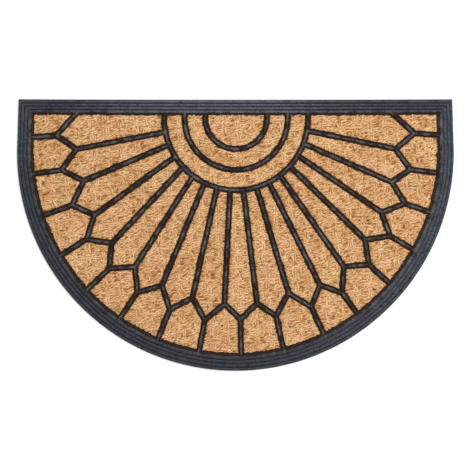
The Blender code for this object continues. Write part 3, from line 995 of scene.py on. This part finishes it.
def make_strand_material():
    surface, tree, shader = new_material("coir_fibre")
    mapped = add_node(tree, "ShaderNodeTexCoord").outputs["UV"]
    place = add_node(tree, "ShaderNodeTexCoord").outputs["Object"]
    tone = mark_of(tree, "tone")
    spread = add_node(tree, "ShaderNodeMapping", {"Vector": mapped, "Scale": STREAK_STRETCH})
    apart = reckon(tree, "MULTIPLY", tone, NOISE_PARTING)
    streak = cloud(tree, spread.outputs[0], scale=1.3, detail=3.0, noise_dimensions="4D")
    tree.links.new(apart, streak.inputs["W"])
    patch = cloud(tree, place, scale=34.0, detail=4.0, roughness=0.55).outputs["Fac"]
    height = split_up(tree, place)["Z"]
    lightness = reckon(tree, "ADD", streak.outputs["Fac"], -0.5)
    lightness = reckon(tree, "MULTIPLY_ADD", lightness, STREAK_DEPTH, tone)
    patched = reckon(tree, "MULTIPLY_ADD", patch, PATCH_SPREAD, PATCH_SHIFT)
    lightness = reckon(tree, "ADD", lightness, patched)
    # Painted shade in the weave's hollows, and a little painted light on its tops
    hollow_shade = remapped(tree, height, HOLLOW_SHADE_HEIGHTS, HOLLOW_SHADE_TONES)
    lightness = reckon(tree, "ADD", lightness, hollow_shade)
    ramp = add_node(tree, "ShaderNodeValToRGB", {"Fac": lightness})
    stops = ramp.color_ramp.elements
    while len(stops) < len(COIR_TONES):
        stops.new(0.5)
    for stop, (at, colour) in zip(stops, COIR_TONES):
        stop.position = at
        stop.color = colour
    batch = cloud(tree, place, scale=22.0, detail=6.0, roughness=0.75, noise_dimensions="4D")
    batch.inputs["W"].default_value = 7.0
    own = add_node(tree, "ShaderNodeTexWhiteNoise", {"W": apart}, noise_dimensions="1D")
    hue = reckon(tree, "MULTIPLY_ADD", batch.outputs["Fac"], BATCH_HUE_SPREAD, BATCH_HUE_SHIFT)
    hue = reckon(tree, "MULTIPLY_ADD", own.outputs["Value"], OWN_HUE, hue, use_clamp=True)
    tint = blended(tree, hue, STRAW_TINT, ROSE_TINT)
    dyed = blended(tree, 1.0, ramp.outputs["Color"], tint, blend_type="MULTIPLY")
    # Painted crevice shade on the strands that lie lowest
    buried_shade = remapped(tree, height, BURIED_SHADE_HEIGHTS)
    link_to(tree, shader, {"Base Color": blended(tree, buried_shade, COIR_PIT_SHADE, dyed),
                           "Normal": bumped(tree, streak.outputs["Fac"], strength=1.0,
                                            distance=0.0005)})
    shader.inputs["Roughness"].default_value = 0.85
    shader.inputs["Specular IOR Level"].default_value = 0.15
    return surface


strand_shapes = make_strand_shapes()
coir_material = make_strand_material()
lay_strands = strand_tree(coir_material)
for name, seed, spacing, lift, brightness in STRAND_LAYERS:
    layer = grow_mesh(name, panel_tops, lay_strands, {
        "Shapes": strand_shapes, "Rims": panel_rims, "Spacing": spacing, "Seed": seed,
        "Lift": lift, "Brightness": brightness})
    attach(layer, "root")


# Loose fibre ends
# Wherever the cloth was cut and trodden, single stiff hairs of coir spring up out of the yarn,
# and short broken bits of them lie about on the ribs.
HAIR_SHAPES = 8
HAIR_RINGS = 4
HAIR_SIDES = 3
HAIR_WIDTH = 0.00026
HAIR_REACH = 0.0034
HAIR_REACH_STEP = 0.0004
HAIR_BEND = 0.0008
HAIR_SPRING = 0.0015
HAIR_ARC = 0.85
HAIR_ROOT_DEPTH = 0.25
HAIR_TAPER = 0.5
HAIR_SIZES = (0.6, 1.4)
HAIR_TIP = 0.25
HAIR_SPACING = 0.0030
HAIR_CLEARANCE = 0.0030
HAIR_TONES = (0.25, 0.85)
DENSEST_HAIRS = 60000.0
STEEPEST_FACE = 0.8
CRUMB_SPACING = 0.021
CRUMB_SIZES = (0.35, 0.65)


def make_hair_shapes():
    """A few thin curved hairs, rising out of the cloth and bending back down to it."""
    shapes = bpy.data.collections.new("hair_shapes")
    for shape in range(HAIR_SHAPES):
        reach = HAIR_REACH + HAIR_REACH_STEP * shape
        bend = HAIR_BEND * math.sin(math.tau * shape / HAIR_SHAPES + 0.4)
        rings = []
        for ring in range(HAIR_RINGS):
            along = ring / (HAIR_RINGS - 1)
            thin = 1 - HAIR_TAPER * along
            aside = bend * math.sin(math.pi * along)
            rise = math.sin(math.pi * HAIR_ARC * along) - HAIR_ROOT_DEPTH * (1 - along)
            rings.append([])
            for side in range(HAIR_SIDES):
                turn = math.tau * (side / HAIR_SIDES + 0.25)
                across = math.cos(turn) * thin * HAIR_WIDTH / 2
                up = math.sin(turn) * thin * HAIR_WIDTH / 2
                rings[-1].append((reach * along, aside + across, HAIR_SPRING * rise + up))
        shapes.objects.link(bpy.data.objects.new("hair_shape", make_tube("hair_shape", rings)))
    return shapes


def hair_tree(material):
    """Scatter hairs over a mesh's upward faces, each turned any way round and a little tipped."""
    tree, given = new_tree("scatter_hairs", (
        ("Shapes", "NodeSocketCollection", None), ("Rims", "NodeSocketObject", None),
        ("Clearance", "NodeSocketFloat", 0.0), ("Spacing", "NodeSocketFloat", 0.007),
        ("Seed", "NodeSocketInt", 5), ("Least size", "NodeSocketFloat", HAIR_SIZES[0]),
        ("Most size", "NodeSocketFloat", HAIR_SIZES[1]), ("Tip", "NodeSocketFloat", HAIR_TIP)))
    facing = split_up(tree, add_node(tree, "GeometryNodeInputNormal").outputs[0])["Z"]
    upward = compare(tree, facing, "GREATER_THAN", STEEPEST_FACE)
    spots = scattered(tree, given, DENSEST_HAIRS, Selection=upward)
    flat = flattened(tree, position(tree))
    gap = nearest_rim(tree, given["Rims"], flat).outputs["Distance"]
    near = compare(tree, gap, "LESS_THAN", given["Clearance"])
    clear = add_node(tree, "GeometryNodeDeleteGeometry", {"Geometry": spots, "Selection": near})
    untip = reckon(tree, "MULTIPLY", given["Tip"], -1.0)
    least = add_node(tree, "ShaderNodeCombineXYZ", {"X": untip, "Y": untip})
    most = add_node(tree, "ShaderNodeCombineXYZ", {"X": given["Tip"], "Y": given["Tip"],
                                                   "Z": math.tau})
    turn = add_node(tree, "FunctionNodeRandomValue", {0: least.outputs[0], 1: most.outputs[0],
                                                      "Seed": 31}, data_type="FLOAT_VECTOR")
    size = random_value(tree, given["Least size"], given["Most size"], seed=37)
    laid = laid_on(tree, clear.outputs[0], given["Shapes"], turn.outputs[0], size)
    toned = stored(tree, laid, "tone", random_value(tree, *HAIR_TONES, seed=41), "INSTANCE")
    return finish_tree(tree, toned, material)


hair_shapes = make_hair_shapes()
scatter_hairs = hair_tree(coir_material)
rib_copy = add_object("rib_copy", ribs.data.copy())
frizz = grow_mesh("coir_frizz", panel_tops, scatter_hairs, {
    "Shapes": hair_shapes, "Rims": panel_rims, "Clearance": HAIR_CLEARANCE,
    "Spacing": HAIR_SPACING})
crumbs = grow_mesh("coir_crumbs", rib_copy, scatter_hairs, {
    "Shapes": hair_shapes, "Spacing": CRUMB_SPACING, "Tip": 0.0,
    "Least size": CRUMB_SIZES[0], "Most size": CRUMB_SIZES[1]})
for piece in (frizz, crumbs):
    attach(piece, "root")
for helper in [panel_tops, panel_rims, rib_copy, *strand_shapes.objects, *hair_shapes.objects]:
    bpy.data.objects.remove(helper)


# The floor, the light and the camera
# A plain pale floor under soft daylight that falls mostly from the straight edge's side, and
# a camera straight above the mat.
FLOOR_COLOUR = (0.80, 0.80, 0.80, 1.0)
FLOOR_HALF = 4.0
# Each lamp's name, place, width, watts and colour; all of them face the mat's middle
LAMPS = (("key", (0.9, 0.85, 2.35), 1.5, 52.5, (0.98, 0.99, 1.0)),
         ("window", (1.25, -0.35, 0.75), 0.8, 1.0, (0.97, 0.99, 1.0)),
         ("fill", (-0.4, -1.6, 2.6), 2.4, 18.0, (1.0, 0.99, 0.97)))
DAYLIGHT_COLOUR = (1.0, 1.0, 1.0, 1.0)
DAYLIGHT_STRENGTH = 0.75
CAMERA_HEIGHT = 2.4
VIEW_WIDTH = 0.8067
VIEW_CENTRE = (-0.0008, 0.0)
SENSOR_WIDTH = 36.0


def make_floor():
    data = bpy.data.meshes.new("floor")
    corners = [(x * FLOOR_HALF, y * FLOOR_HALF, 0) for x, y in ((-1, -1), (1, -1), (1, 1), (-1, 1))]
    data.from_pydata(corners, [], [(0, 1, 2, 3)])
    surface, _, shader = new_material("pale_floor")
    shader.inputs["Base Color"].default_value = FLOOR_COLOUR
    shader.inputs["Roughness"].default_value = 0.9
    data.materials.append(surface)
    floor = add_object("floor", data)


def make_lights():
    for name, place, width, watts, colour in LAMPS:
        lamp = bpy.data.lights.new(name, "AREA")
        lamp.energy = watts
        lamp.color = colour
        lamp.shape = "DISK"
        lamp.size = width
        item = add_object(name, lamp)
        item.location = place
        item.rotation_euler = (-Vector(place)).to_track_quat("-Z", "Y").to_euler()
    world = bpy.data.worlds.new("world")
    world.use_nodes = True
    daylight = world.node_tree.nodes["Background"]
    daylight.inputs["Color"].default_value = DAYLIGHT_COLOUR
    daylight.inputs["Strength"].default_value = DAYLIGHT_STRENGTH
    bpy.context.scene.world = world
    bpy.context.scene.view_settings.view_transform = "Standard"


def make_camera():
    lens = bpy.data.cameras.new("camera")
    lens.sensor_width = SENSOR_WIDTH
    lens.lens = SENSOR_WIDTH * (CAMERA_HEIGHT - mat_high.z / 2) / VIEW_WIDTH
    camera = add_object("camera", lens)
    camera.location = (*VIEW_CENTRE, CAMERA_HEIGHT)
    bpy.context.scene.camera = camera


make_floor()
make_lights()
make_camera()
